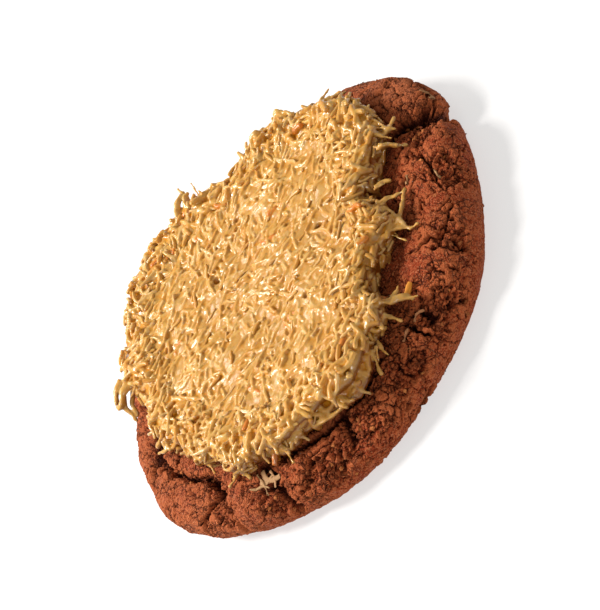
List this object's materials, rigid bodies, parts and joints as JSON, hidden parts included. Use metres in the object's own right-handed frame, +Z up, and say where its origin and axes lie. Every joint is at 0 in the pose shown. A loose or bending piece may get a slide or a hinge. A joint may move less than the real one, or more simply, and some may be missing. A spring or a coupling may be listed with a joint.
{
  "type": "chocolate cookie",
  "caption": "Round chocolate cookie with a cracked rim, thickly covered with golden pistachio spread bound with shredded pastry that stands out in tufts at its edge.",
  "frame": {"origin": "middle of the cookie's flat base, on the surface it rests on", "axes": "+Z up through the spread; -Y towards the side that the picture shows nearest, where the rim is barest; +X to the right of that view"},
  "size_m": [0.1006, 0.0962, 0.0204],
  "materials": {
    "cookie": "matte dark reddish brown baked cocoa dough, finely crackled",
    "spread": "glossy golden tan nut cream over thin baked pastry shreds"
  },
  "bodies": {
    "root": {"cookie": "cookie", "spread": "spread"}
  },
  "joints": []
}
